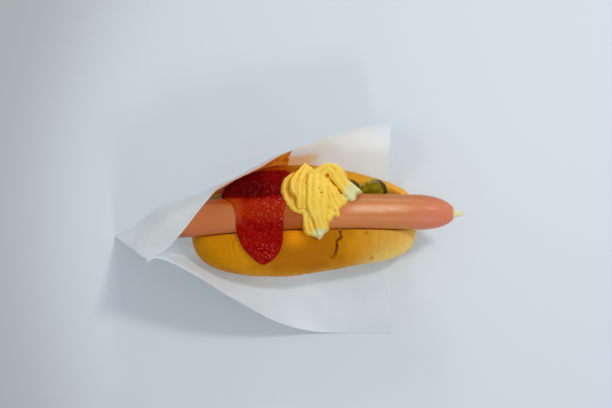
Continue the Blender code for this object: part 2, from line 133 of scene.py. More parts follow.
def sleeve_side(foot, rim, bulges, outward):
    """One side of the sleeve as rows: flat from the fold to the foot, then a curve up to the rim."""
    fold_line, foot_line = (
        curve([(x, y, SLEEVE_LOWEST) for x, y in line], SLEEVE_ROWS) for line in (SLEEVE_FOLD, foot)
    )
    rim_line = curve(rim, SLEEVE_ROWS)
    rows = []
    for i in range(SLEEVE_ROWS):
        start, end, top = fold_line[i], foot_line[i], rim_line[i]
        share = i / (SLEEVE_ROWS - 1)
        bulge = along([(b, 0, 0) for b in bulges], share)[0]
        belly = (end + top) / 2 + bulge * 2 * Vector((0, outward, SLEEVE_BELLY_SAG))
        apart = outward * SLEEVE_SEAM_GAP / 2 * (1 - smoothstep(0, SLEEVE_SEAM_REACH, share))
        row = [start.lerp(end, k / SLEEVE_FLOOR_STEPS) for k in range(SLEEVE_FLOOR_STEPS)]
        for k in range(SLEEVE_RISE_STEPS + 1):
            f = k / SLEEVE_RISE_STEPS
            point = end * (1 - f) ** 2 + belly * 2 * f * (1 - f) + top * f**2
            row.append(Vector((point.x, point.y + apart, max(point.z, SHEET_REST))))
        rows.append(row)
    return rows


scene = bpy.context.scene


def add(name, data):
    """An object in the scene that holds the data."""
    made = bpy.data.objects.new(name, data)
    scene.collection.objects.link(made)
    return made


def reshape(mesh, change):
    """Lets a function change the mesh in its editable form."""
    shape = bmesh.new()
    shape.from_mesh(mesh)
    change(shape)
    shape.to_mesh(mesh)
    shape.free()


def skin(name, rows, round_closed=True, ends_closed=True):
    """A mesh object through rows of points. Rows may close on themselves, and ends to their middles."""
    count = len(rows[0])
    points = [tuple(point * MM) for row in rows for point in row]
    faces = []
    for i in range(len(rows) - 1):
        for j in range(count if round_closed else count - 1):
            k = (j + 1) % count
            faces.append((i * count + j, i * count + k, (i + 1) * count + k, (i + 1) * count + j))
    if ends_closed:
        for first in (0, (len(rows) - 1) * count):
            loop = range(first, first + count)
            points.append(tuple(sum((Vector(points[j]) for j in loop), Vector()) / count))
            faces += [(j, first + (j + 1 - first) % count, len(points) - 1) for j in loop]
    mesh = bpy.data.meshes.new(name)
    mesh.from_pydata(points, [], faces)
    if ends_closed:
        reshape(mesh, lambda shape: bmesh.ops.recalc_face_normals(shape, faces=shape.faces[:]))
    mesh.shade_smooth()
    return add(name, mesh)


def lumps(point, layers):
    """The height of some layers of soft noise at a point, each layer with its depth and size."""
    return sum(depth * noise(point / size) for depth, size in layers)


def push(piece, amount, shares=None):
    """Moves each point of the piece out along its normal, by amount(point) and a share of it if given."""
    vertices = piece.data.vertices
    normals = [vertex.normal.copy() for vertex in vertices]
    for vertex, normal, share in zip(vertices, normals, shares or [1.0] * len(vertices)):
        vertex.co += normal * share * MM * amount(vertex.co / MM)


def mark(piece, name, values):
    """Keeps one number for each point of the piece, which its material reads by name."""
    made = piece.data.attributes.new(name, "FLOAT", "POINT")
    made.data.foreach_set("value", values)


class Paint:
    """A socket in a material's node tree. Sums and products of paints add Math nodes to that tree."""

    def __init__(self, tree, socket=None):
        self.tree = tree
        self.socket = socket

    def node(self, kind, settings=None, sockets=None, output=0):
        """Adds a node: its settings first, and then the values or links of its sockets."""
        made = self.tree.nodes.new(kind)
        for name, value in (settings or {}).items():
            setattr(made, name, value)
        for name, value in (sockets or {}).items():
            if isinstance(value, Paint):
                self.tree.links.new(value.socket, made.inputs[name])
            else:
                made.inputs[name].default_value = value
        return Paint(self.tree, made.outputs[output] if made.outputs else None)

    def maths(self, operation, *values):
        return self.node("ShaderNodeMath", {"operation": operation}, dict(enumerate(values)))

    def __add__(self, other):
        return self.maths("ADD", self, other)

    def __sub__(self, other):
        return self.maths("SUBTRACT", self, other)

    def __rsub__(self, other):
        return self.maths("SUBTRACT", other, self)

    def __mul__(self, other):
        return self.maths("MULTIPLY", self, other)

    __radd__ = __add__
    __rmul__ = __mul__

    def axis(self, index):
        """The X, Y or Z of a place."""
        return self.node("ShaderNodeSeparateXYZ", None, {0: self}, index)

    def rise(self, low, high):
        """0 below low, 1 above high, and smooth between them."""
        ends = {"Value": self, "From Min": low, "From Max": high}
        return self.node("ShaderNodeMapRange", {"interpolation_type": "SMOOTHSTEP"}, ends)

    def mix(self, low, high):
        """A colour: low where this paint is 0 and high where it is 1."""
        return self.node("ShaderNodeMix", {"data_type": "RGBA"}, {0: self, 6: low, 7: high}, 2)

    def noise(self, size, detail=2, stretch=(1, 1, 1)):
        """Clouds of about the given size, drawn out along the axes by the stretch."""
        scale = tuple(1 / (size * s) for s in stretch)
        spread = self.node("ShaderNodeMapping", None, {"Vector": self, "Scale": scale})
        return self.node("ShaderNodeTexNoise", None, {"Vector": spread, "Scale": 1.0, "Detail": detail})

    def near(self, centre, reach):
        """1 at the centre, falling to 0 at the reach."""
        gap = self.node("ShaderNodeVectorMath", {"operation": "DISTANCE"}, {0: self, 1: centre}, 1)
        return 1 - gap.rise(0, reach)

    def mark(self, name):
        """The number kept for each point under a name."""
        return self.node("ShaderNodeAttribute", {"attribute_name": name}, None, 2)

    def bump(self, depth, strength):
        """The normal of a surface whose height is this paint times the depth."""
        values = {"Height": self, "Distance": depth * MM, "Strength": strength}
        return self.node("ShaderNodeBump", None, values)

    def surface(self, values):
        """A surface with the given values and links."""
        return self.node("ShaderNodeBsdfPrincipled", None, values)


def colour(red, green, blue):
    """A screen colour, each part from 0 to 255, as the shader takes it."""
    parts = (part / 255 for part in (red, green, blue))
    return (*(p / 12.92 if p <= 0.04045 else ((p + 0.055) / 1.055) ** 2.4 for p in parts), 1.0)


def material(name, surface):
    """A material whose surface is what the function makes of the place on the object in mm."""
    made = bpy.data.materials.new(name)
    made.use_nodes = True
    made.node_tree.nodes.clear()
    place = Paint(made.node_tree).node("ShaderNodeTexCoord", output="Object")
    place = place.node("ShaderNodeVectorMath", {"operation": "SCALE"}, {0: place, "Scale": 1 / MM})
    place.node("ShaderNodeOutputMaterial", None, {"Surface": surface(place)})
    return made


PAPER_WHITE = colour(243, 249, 254)
PAPER_SHADE = colour(237, 244, 251)
# The outside of the sheet is painted a little greyer than the inside, though it is the same paper: painted
# shade on the outside faces, which take more light.
OUTSIDE_WHITE = colour(231, 232, 228)
OUTSIDE_SHADE = colour(225, 227, 224)
GREASE = colour(246, 208, 146)
SAUCE_STAIN = colour(242, 160, 30)
SAUCE_STAIN_DARK = colour(218, 110, 4)


def thin_sheet(place, fibres, tint, values):
    """Paper lets some of the light through."""
    values = {"Base Color": tint, "Normal": fibres.bump(0.05, 0.5), "Specular IOR Level": 0.2, **values}
    through = place.node("ShaderNodeBsdfTranslucent", None, {"Color": tint})
    shares = {0: SHEET_CLEARNESS, 1: place.surface(values), 2: through}
    return place.node("ShaderNodeMixShader", None, shares)


def clouded(place, shade, white):
    return place.noise(CLOUD_SIZE).rise(0.3, 0.7).mix(shade, white)


def bare_paper(place):
    fibres = place.noise(FIBRE_SIZE, 3)
    # The outside's whites are the painted greyer ones: painted shade.
    white = clouded(place, OUTSIDE_SHADE, OUTSIDE_WHITE)
    return thin_sheet(place, fibres, white, {"Roughness": SHEET_ROUGHNESS + 0.1 * fibres})


def stained_paper(place):
    """Sauce has soaked in high on the far side, at the left, with a paler stain of grease below it. The
    inside also glows a little: painted light standing in for light that comes through the sheet.
    """
    fibres = place.noise(FIBRE_SIZE, 3)
    ragged = place.noise(5, 4) - 0.5
    down = place.mark("down")
    far = place.mark("far")
    x = place.axis(0) + ragged * 3
    soaked = far * x.rise(*STAIN_LEFT) * (1 - (x + 0.14 * down).rise(*STAIN_RIGHT))
    soaked = soaked * (1 - (down + ragged * 16).rise(*STAIN_LOW))
    patch = down + ragged * 9 + 0.25 * x
    greased = far * (1 - (x + 0.2 * down).rise(*GREASE_RIGHT)) * patch.rise(*GREASE_TOP)
    greased = greased * x.rise(*GREASE_LEFT) * (1 - patch.rise(*GREASE_LOW))
    stain = place.noise(4, 3).rise(0.35, 0.65).mix(SAUCE_STAIN_DARK, SAUCE_STAIN)
    tint = (0.9 * greased).mix(clouded(place, PAPER_SHADE, PAPER_WHITE), GREASE)
    tint = soaked.mix(tint, stain)
    # Painted glow: the inside of the sheet gives off light of its own, standing in for light coming through
    # the paper, stronger higher up the standing far side and weaker to the right on the near side.
    standing = 0.74 + 0.66 * down.rise(0, 20)
    spread = 0.62 - 0.34 * x.rise(-10, 40)
    glow = far * standing + (1 - far) * spread
    return thin_sheet(place, fibres, tint, {
        "Roughness": SHEET_ROUGHNESS + 0.1 * fibres - 0.3 * soaked,
        "Emission Color": glow.mix((0, 0, 0, 1), tint),
        "Emission Strength": SHEET_GLOW,
    })


near_side = sleeve_side(SLEEVE_NEAR_FOOT, SLEEVE_NEAR_RIM, SLEEVE_NEAR_BULGE, -1)
far_side = sleeve_side(SLEEVE_FAR_FOOT, SLEEVE_FAR_RIM, SLEEVE_FAR_BULGE, 1)
sleeve_rows = [near[:0:-1] + far for near, far in zip(near_side, far_side)]
sleeve = skin("sleeve_of_paper", sleeve_rows, round_closed=False, ends_closed=False)
downs = []
fars = []
for near, far in zip(near_side, far_side):
    for side in (near, far):
        lengths = [0.0]
        for a, b in zip(side[::-1], side[-2::-1]):
            lengths.append(lengths[-1] + (b - a).length)
        downs += lengths[:-1] if side is near else lengths[::-1]
    fars += [0.0] * (len(near) - 1) + [1.0] * len(far)
mark(sleeve, "down", downs)
mark(sleeve, "far", fars)


def shut_end(shape):
    """Closes the sleeve's left end and joins its two sides there."""
    shape.verts.ensure_lookup_table()
    seam = shape.verts[:len(sleeve_rows[0])]
    for j in range(len(seam) // 2):
        corners = [seam[j + 1], seam[j], seam[-1 - j], seam[-2 - j]]
        shape.faces.new(corners if corners[0] != corners[3] else corners[:3])
    bmesh.ops.remove_doubles(shape, verts=shape.verts[:], dist=SEAM_WELD * MM)


reshape(sleeve.data, shut_end)


def sleeve_wave(point):
    """Soft waves in the sheet, none where it touches the table."""
    return lumps(point, SHEET_WAVES) * smoothstep(*WAVES_FROM, point.z)


push(sleeve, sleeve_wave)
sheet = sleeve.modifiers.new("thickness", "SOLIDIFY")
sheet.thickness = SHEET_THICKNESS * MM
sheet.offset = 0.0
sheet.material_offset = 1
sleeve.data.materials.append(material("white paper outside", bare_paper))
sleeve.data.materials.append(material("white paper inside", stained_paper))
sleeve.data.shade_smooth()
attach(sleeve, "root")
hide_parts("paper_sleeve")

# Bun
# A soft white roll baked with a golden crust, slit along its top and opened for the filling.
# The crust split in two places on the near side, and the slit shows pale crumb.
BUN_HALF_LENGTH = 75.6
BUN_BASE = 0.9
BUN_WAIST = 17
BUN_NEAR_HALF_WIDTH = 37.4
BUN_NEAR_NARROWING = 8.1
BUN_FAR_HALF_WIDTH = 38.3
BUN_FAR_RIGHT_NARROWING = 9
BUN_FAR_LEFT_NARROWING = 16
BUN_NEAR_NARROWS_ALONG = (-20, 50)
BUN_FAR_RIGHT_NARROWS_ALONG = (0, 70)
BUN_FAR_LEFT_NARROWS_ALONG = (15, 72)
BUN_CROWN_BLEND = 8
BUN_NEAR_RISE = 22
BUN_FAR_RISE = 20.4
BUN_UNDER_DEPTH = 17.4
BUN_END_SHAPE = 3.5
BUN_CROWN_SHAPE = 2.4
BUN_UNDER_SHAPE = 3.5
BUN_ROWS = 290
NEAR_CRUST_STEPS = 88
SLIT_STEPS = 64
FAR_CRUST_STEPS = 48
UNDER_STEPS = 48
FINE_STEPS = 80
HALVINGS = 16
END_STEPS = 2000
END_WEIGHT = 30
SAUSAGE_RADIUS = 11.5
SAUSAGE_SIDE = 3.7
SAUSAGE_HEIGHT = 36
SAUSAGE_BOW = 0.00042
SAUSAGE_LIFT = 0.00025
SAUSAGE_BOW_FROM = 35
SAUSAGE_LEFT_BEND = 0.0035
SAUSAGE_LEFT_BEND_FROM = 60
SLIT_CLEARANCE = 0.35
SLIT_FOOT_OUT = 7
SLIT_FOOT_DROP = 2.6
SLIT_FAR_SLOPE = 0.83
SLIT_TOP = 60
SLIT_OPEN_TO = 57
SLIT_SHUT_FROM = 74
SLIT_BED_STEPS = 30
SLIT_SLOPE_STEPS = 40
SLIT_SLOPE_RUN = 12
SLIT_FINE_STEPS = 240
LIP_REACH = 5
LIP_ROUNDING = 10
DENSER_AT = (((16, 18), (26, 28), 1.6), ((-49, -48), (-44, -43), 1.2))
CRACK_STEPS = 24
CRACKS_NEARER_THAN = -7
CRACK_REACH = 12
CRACK_WANDER = 0.35
CRUST_LUMPS = ((0.30, 16), (0.12, 5))
CRUST_WRINKLE_SIZES = (2.6, 22, 22)
CRUST_WRINKLE_DEPTH = 0.26
CRUST_WRINKLES_BELOW = (36, 20)
CRUST_WRINKLES_BEFORE = (-2, -12)
LIP_OUT = 1.5
LIP_WIDTH = 1.1

# Each crack: its line over the crust as (x, y), its half width and depth, and how high its lips stand
CRACKS = (
    (
        (
            (23.5, -8), (23.5, -11), (24, -14), (22, -15.5), (21, -17.5), (21.5, -20), (20.5, -23.5),
            (19.5, -27),
        ),
        0.68, 2.2, 0.5,
    ),
    (((20, -25), (18.5, -27), (16.5, -26.5)), 0.4, 1.2, 0.25),
    (((-45.5, -11.5), (-45, -14), (-46.5, -18), (-46, -22), (-45, -26.5)), 0.45, 0.7, 0.25),
)


def bun_half_width(x, y):
    if y < 0:
        return BUN_NEAR_HALF_WIDTH - BUN_NEAR_NARROWING * smoothstep(*BUN_NEAR_NARROWS_ALONG, x)
    if x < 0:
        return BUN_FAR_HALF_WIDTH - BUN_FAR_LEFT_NARROWING * smoothstep(*BUN_FAR_LEFT_NARROWS_ALONG, -x)
    return BUN_FAR_HALF_WIDTH - BUN_FAR_RIGHT_NARROWING * smoothstep(*BUN_FAR_RIGHT_NARROWS_ALONG, x)


def bun_taper(x):
    share = min(1.0, abs(x) / BUN_HALF_LENGTH)
    return (1 - share**BUN_END_SHAPE) ** (1 / BUN_END_SHAPE)


def crust_height(x, y):
    """The height of the uncut bun's crown over a place on the table."""
    taper = max(bun_taper(x), 1e-3)
    share = min(1.0, abs(y) / (bun_half_width(x, y) * taper))
    far = smoothstep(-BUN_CROWN_BLEND, BUN_CROWN_BLEND, y)
    rise = BUN_NEAR_RISE + (BUN_FAR_RISE - BUN_NEAR_RISE) * far
    return BUN_WAIST + rise * taper * (1 - share**BUN_CROWN_SHAPE) ** (1 / BUN_CROWN_SHAPE)


def sausage_axis(x):
    """(y, z) of the sausage's middle line: a slight bow, a bend at the left and a lift at the right."""
    side = SAUSAGE_SIDE - SAUSAGE_BOW * (x - SAUSAGE_BOW_FROM) ** 2
    side -= SAUSAGE_LEFT_BEND * max(0.0, -SAUSAGE_LEFT_BEND_FROM - x) ** 2
    return side, SAUSAGE_HEIGHT + SAUSAGE_LIFT * max(0.0, x - SAUSAGE_BOW_FROM) ** 2


def slit_line(x):
    """The slit's profile at x, from high on the near side, round the sausage's bed and up the far slope."""
    bed = SAUSAGE_RADIUS + SLIT_CLEARANCE
    side, height = sausage_axis(x)
    opened = 1 - smoothstep(SLIT_OPEN_TO, SLIT_SHUT_FROM, abs(x))
    foot_z = height - bed - SLIT_FOOT_DROP
    line = [Vector((x, side - bed, SLIT_TOP))]
    for i in range(SLIT_BED_STEPS + 1):
        angle = radians(180 + 90 * i / SLIT_BED_STEPS)
        line.append(Vector((x, side + bed * cos(angle), height + bed * sin(angle))))
    for i in range(1, SLIT_SLOPE_STEPS + 1):
        share = i / SLIT_SLOPE_STEPS
        angle = radians(270 + 90 * share)
        round_place = Vector((x, side + bed * cos(angle), height + bed * sin(angle)))
        out = SLIT_FOOT_OUT * min(1.0, 3 * share) + max(0.0, 3 * share - 1) * SLIT_SLOPE_RUN
        flat_z = foot_z + max(0.0, out - SLIT_FOOT_OUT) * SLIT_FAR_SLOPE
        line.append(round_place.lerp(Vector((x, side + out, flat_z)), opened))
    top_out = bed + (SLIT_FOOT_OUT + (SLIT_TOP - foot_z) / SLIT_FAR_SLOPE - bed) * opened
    line.append(Vector((x, side + top_out, SLIT_TOP)))
    return evenly(line, SLIT_FINE_STEPS)


def in_bun(point):
    reach = bun_half_width(point.x, point.y) * bun_taper(point.x)
    return abs(point.y) < reach and point.z < crust_height(point.x, point.y)


def crossing(outside, inside):
    """The place on the crust between a point outside the bun and one inside it."""
    for _ in range(HALVINGS):
        middle = (outside + inside) / 2
        if in_bun(middle):
            inside = middle
        else:
            outside = middle
    return inside


def crust_turn(x, y):
    """The angle round the crown at which the crust has this y: 0 at the far side, pi at the near side."""
    share = min(1.0, abs(y) / (bun_half_width(x, y) * bun_taper(x))) ** (BUN_CROWN_SHAPE / 2)
    return acos(share) if y >= 0 else pi - acos(share)


def crust_stretch(x, first, last, count):
    """Evenly spaced points on the crown between two angles."""
    fine = []
    for i in range(FINE_STEPS + 1):
        turn = first + (last - first) * i / FINE_STEPS
        side = 1 if turn < pi / 2 else -1
        y = side * abs(cos(turn)) ** (2 / BUN_CROWN_SHAPE)
        y *= bun_half_width(x, y) * bun_taper(x)
        fine.append(Vector((x, y, crust_height(x, y))))
    return evenly(fine, count)


def under_stretch(x, count):
    """Evenly spaced points under the bun, from the far side to the near side."""
    fine = []
    for i in range(FINE_STEPS + 1):
        turn = pi * i / FINE_STEPS
        y = copysign(abs(cos(turn)) ** (2 / BUN_UNDER_SHAPE), cos(turn))
        z = BUN_WAIST - BUN_UNDER_DEPTH * bun_taper(x) * sin(turn) ** (2 / BUN_UNDER_SHAPE)
        fine.append(Vector((x, y * bun_half_width(x, y) * bun_taper(x), max(z, BUN_BASE))))
    return evenly(fine, count)


def bun_ring(x):
    """One section across the bun: from the near side over the crown, through the slit and back below."""
    line = slit_line(x)
    inside = [i for i, point in enumerate(line) if in_bun(point)]
    if inside:
        enter = crossing(line[inside[0] - 1], line[inside[0]])
        leave = crossing(line[inside[-1] + 1], line[inside[-1]])
        cut = evenly([enter] + [line[i] for i in inside] + [leave], SLIT_STEPS)
    else:
        side = sausage_axis(x)[0]
        cut = [Vector((x, side, crust_height(x, side)))] * SLIT_STEPS
    near = crust_stretch(x, pi, crust_turn(x, cut[0].y), NEAR_CRUST_STEPS)
    far = crust_stretch(x, crust_turn(x, cut[-1].y), 0.0, FAR_CRUST_STEPS)
    ring = near[:-1] + cut + far[1:-1] + under_stretch(x, UNDER_STEPS)[:-1]
    for lip in (NEAR_CRUST_STEPS - 1, NEAR_CRUST_STEPS + SLIT_STEPS - 2):
        for _ in range(LIP_ROUNDING):
            rounded = list(ring)
            for j in range(lip - LIP_REACH, lip + LIP_REACH + 1):
                rounded[j] = (ring[j - 1] + 2 * ring[j] + ring[j + 1]) / 4
            ring = rounded
    return ring


def bun_places():
    """Places along the bun, closer together round its blunt ends and at the cracks."""
    fine = []
    for i in range(1, END_STEPS):
        turn = pi * (i / END_STEPS - 0.5)
        x = copysign(abs(sin(turn)) ** (2 / BUN_END_SHAPE), turn) * BUN_HALF_LENGTH
        fine.append((x, END_WEIGHT * bun_taper(x)))
    cost = [0.0]
    for (x0, y0), (x1, y1) in zip(fine, fine[1:]):
        dense = 1
        for first, last, extra in DENSER_AT:
            dense += extra * (smoothstep(*first, x0) - smoothstep(*last, x0))
        cost.append(cost[-1] + hypot(x1 - x0, y1 - y0) * dense)
    return np.interp(np.linspace(0, cost[-1], BUN_ROWS), cost, [x for x, y in fine])


def crack_gap(point, line):
    """Distance from a crack's line, and the share of the way along it."""
    best = (1000.0, 0.0)
    for i, (a, b) in enumerate(zip(line, line[1:])):
        step = b - a
        f = min(1.0, max(0.0, (point - a).dot(step) / step.length_squared))
        best = min(best, ((point - a - step * f).length, (i + f) / (len(line) - 1)))
    return best


crack_lines = [(curve(points, CRACK_STEPS), *sizes) for points, *sizes in CRACKS]


def cracks_near(point):
    """For each crack near the point: the gap from it, the share along it, its sizes and where it starts."""
    found = []
    if point.y < CRACKS_NEARER_THAN and point.z > BUN_WAIST:
        for line, half_width, depth, lips in crack_lines:
            start = line[0].x
            if abs(point.x - start) < CRACK_REACH:
                wander = noise(Vector((point.y / 1.6, point.x / 9, 3.7)))
                gap, share = crack_gap(point.xy + Vector((CRACK_WANDER * wander, 0)), line)
                found.append((gap, share, half_width, depth, lips, start))
    return found


def crust_relief(point):
    """Lumps, fine wrinkles and cracks in the crust, as a height over the smooth bun."""
    streaks = Vector(at / size for at, size in zip(point, CRUST_WRINKLE_SIZES))
    low = smoothstep(*CRUST_WRINKLES_BELOW, point.z) * smoothstep(*CRUST_WRINKLES_BEFORE, point.y)
    height = lumps(point, CRUST_LUMPS) + CRUST_WRINKLE_DEPTH * low * noise(streaks)
    for gap, share, half_width, depth, lips, start in cracks_near(point):
        ends = smoothstep(0, 0.06, share) * smoothstep(1, 0.8, share)
        width = half_width * (1 + 0.6 * noise(Vector((share * 9, 5.1, start))))
        height -= depth * ends * exp(-((gap / width) ** 2))
        height += lips * ends * exp(-(((gap - LIP_OUT) / LIP_WIDTH) ** 2))
    return height


CRUST_GOLD = colour(208, 137, 0)
CRUST_BROWN = colour(176, 104, 0)
CRUST_LIGHT = colour(240, 202, 108)
CRUST_FAR = colour(228, 154, 16)
CRUST_ORANGE = colour(238, 146, 0)
CRACK_BROWN = colour(120, 52, 6)
CRUST_SMEAR = colour(178, 84, 0)
CRUMB = colour(232, 200, 120)
CRUMB_GOLD = colour(236, 176, 52)
WRINKLES_AT = (-14, -31, 24)
CRUST_SPOTS = (
    ((41, -11, 37.5), 2.2),
    ((45, -26.5, 27), 3),
)


def bread(place):
    x, y, z = (place.axis(i) for i in range(3))
    broad = place.noise(30)
    middle = place.noise(7, 3)
    fine = place.noise(1.1, 3)
    streaks = place.noise(2.2, 2, (1, 9, 9))
    centre = x.rise(-44, -8) * (1 - x.rise(6, 40)) * z.rise(20, 34)
    toasted = 0.15 + 0.75 * centre + (broad - 0.5) * 0.6 + (middle - 0.5) * 0.7
    crust = toasted.rise(0.0, 0.85).mix(CRUST_GOLD, CRUST_BROWN)
    # Paler low down and towards the right end: partly the bun's paler bake, partly painted light thrown up
    # by the white paper beneath.
    pale = (1 - z.rise(3, 16)) * 0.75 + (streaks - 0.5) * 0.25
    pale = pale + x.rise(20, 58) * (0.95 - 0.6 * z.rise(20, 38))
    crust = pale.rise(0.0, 1.0).mix(crust, CRUST_LIGHT)
    # A painted warm glow on the crust's lip below the sauces, standing in for the light they throw onto it.
    warm = place.near((-6, -13, 38), 12) * 0.9
    crust = warm.mix(crust, CRUST_ORANGE)
    crust = (y.rise(14, 20) * x.rise(0, 8) * 0.8).mix(crust, CRUST_FAR)
    # Browner streaks over the wrinkled low crust: painted shade in the wrinkles.
    wrinkled = place.near(WRINKLES_AT, 22) * streaks.rise(0.5, 0.7) * 0.6
    crust = wrinkled.mix(crust, CRUST_BROWN)
    for spot, reach in CRUST_SPOTS:
        crust = (0.8 * place.near(spot, reach)).mix(crust, CRUST_BROWN)
    # Darker orange on the far crust at the left, behind the ketchup: partly sauce smeared on it, partly
    # painted shade under the standing paper.
    smeared = (1 - x.rise(-14, -8)) * x.rise(-66, -56) * y.rise(14, 18)
    crust = (0.85 * smeared).mix(crust, CRUST_SMEAR)
    crust = (fine.rise(0.62, 0.8) * 0.35).mix(crust, CRUST_BROWN)
    # Cracks are painted dark brown: partly the crust's browned inside, partly painted shade down in the
    # crack.
    split = place.mark("crack")
    crust = split.rise(0.2, 0.95).mix(crust, CRACK_BROWN)
    cut = place.mark("crumb")
    holes = place.noise(2.4, 4)
    crumb = x.rise(46, 56).mix(CRUMB, CRUMB_GOLD)
    return place.surface({
        "Base Color": cut.rise(0.35, 0.75).mix(crust, crumb),
        "Roughness": 0.42 + 0.15 * middle + 0.35 * cut,
        "Normal": (fine + 3 * cut * holes).bump(0.12, 0.6),
        "Specular IOR Level": 0.06,
    })


bun = skin("bun_with_slit", [bun_ring(x) for x in bun_places()])
smooth_points = [vertex.co / MM for vertex in bun.data.vertices]
ring_size = NEAR_CRUST_STEPS - 1 + SLIT_STEPS + FAR_CRUST_STEPS - 2 + UNDER_STEPS - 1
cuts = []
splits = []
for i, point in enumerate(smooth_points):
    j = i % ring_size
    inner = min(j - (NEAR_CRUST_STEPS - 1), NEAR_CRUST_STEPS + SLIT_STEPS - 2 - j)
    cuts.append(smoothstep(-1, 3, inner) if i < ring_size * BUN_ROWS else 0.0)
    # How dark each crack is painted grows with its depth: painted shade in the crack.
    split = 0.0
    for gap, share, half_width, depth, lips, start in cracks_near(point) if cuts[-1] < 0.5 else ():
        uneven = 0.75 + 0.9 * noise(Vector((share * 6, 2.2, start)))
        edge = exp(-((gap / (half_width * 1.2)) ** 2)) * smoothstep(1, 0.85, share)
        split = max(split, edge * uneven * depth / 2)
    splits.append(split)
mark(bun, "crumb", cuts)
mark(bun, "crack", splits)
push(bun, crust_relief, [1 - cut for cut in cuts])
bun.data.materials.append(material("golden crust and crumb", bread))
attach(bun, "root")
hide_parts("bun")

# Sausage
# A long smoked sausage in a thin taut casing, drawn in at both ends to a short pale tail.
# It lies in the slit and reaches past the bun at both ends.
SAUSAGE_LEFT_TIP = -94
SAUSAGE_RIGHT_TIP = 99.2
SAUSAGE_TIP_LENGTH = 24
LEFT_TAIL_LENGTH = 2
RIGHT_TAIL_LENGTH = 4.5
CASING_TAIL_RADIUS = 1.5
TAIL_FLARE = 1.45
SAUSAGE_ROWS_AT_TIP = 40
SAUSAGE_ROWS = 150
SAUSAGE_SEGMENTS = 96
SKIN_ORANGE = colour(210, 130, 74)
SKIN_PINK = colour(218, 124, 98)
SKIN_BROWN = colour(184, 95, 50)
SKIN_SMEAR = colour(172, 78, 0)
SKIN_PALE = colour(244, 186, 150)
SKIN_TAN = colour(176, 104, 44)
STREAK_Y = 3.2
CASING_TAIL = colour(226, 220, 168)


def sausage_end(tail_length):
    """(inset from the tip, radius) from the end of the tail to the full body."""
    stations = []
    for i in range(9):
        f = i / 8
        ragged = CASING_TAIL_RADIUS * (0.9 + (TAIL_FLARE - 0.9) * f)
        stations.append((-tail_length * (1 - f), ragged))
    for i in range(SAUSAGE_ROWS_AT_TIP, 0, -1):
        angle = radians(90 * i / (SAUSAGE_ROWS_AT_TIP + 1))
        radius = max(SAUSAGE_RADIUS * cos(angle), CASING_TAIL_RADIUS * TAIL_FLARE)
        stations.append((SAUSAGE_TIP_LENGTH * (1 - sin(angle)), radius))
    return stations


def sausage_rows():
    start = SAUSAGE_LEFT_TIP + SAUSAGE_TIP_LENGTH
    end = SAUSAGE_RIGHT_TIP - SAUSAGE_TIP_LENGTH
    stations = [(SAUSAGE_LEFT_TIP + inset, radius) for inset, radius in sausage_end(LEFT_TAIL_LENGTH)]
    for i in range(SAUSAGE_ROWS + 1):
        stations.append((start + (end - start) * i / SAUSAGE_ROWS, SAUSAGE_RADIUS))
    right_end = reversed(sausage_end(RIGHT_TAIL_LENGTH))
    stations += [(SAUSAGE_RIGHT_TIP - inset, radius) for inset, radius in right_end]
    rows = []
    for x, radius in stations:
        side, height = sausage_axis(x)
        drawn_in = 1 - smoothstep(0.12, 0.5, radius / SAUSAGE_RADIUS)
        row = []
        for i in range(SAUSAGE_SEGMENTS):
            a = 2 * pi * i / SAUSAGE_SEGMENTS
            pleats = 0.10 * cos(9 * a + 2 * sin(x)) + 0.05 * cos(5 * a)
            out = radius * (1 + drawn_in * pleats)
            row.append(Vector((x, side + out * cos(a), height + out * sin(a))))
        rows.append(row)
    return rows


def casing_relief(point):
    """A slight unevenness of the filling and fine lengthwise wrinkles of the casing."""
    side, height = sausage_axis(point.x)
    turn = atan2(point.z - height, point.y - side)
    around = (1.3 * cos(turn), 1.3 * sin(turn))
    uneven = 0.22 * noise(Vector((point.x / 20, *around)))
    wrinkles = noise(Vector((point.x / 9, 9 * cos(turn), 9 * sin(turn))))
    return uneven + 0.05 * wrinkles


def lit_through(weight, colours, reach):
    """What lets light spread below a surface, red, green and blue to their shares of the reach."""
    values = {"Weight": weight, "Radius": colours, "Scale": reach * MM}
    return {f"Subsurface {name}": value for name, value in values.items()}


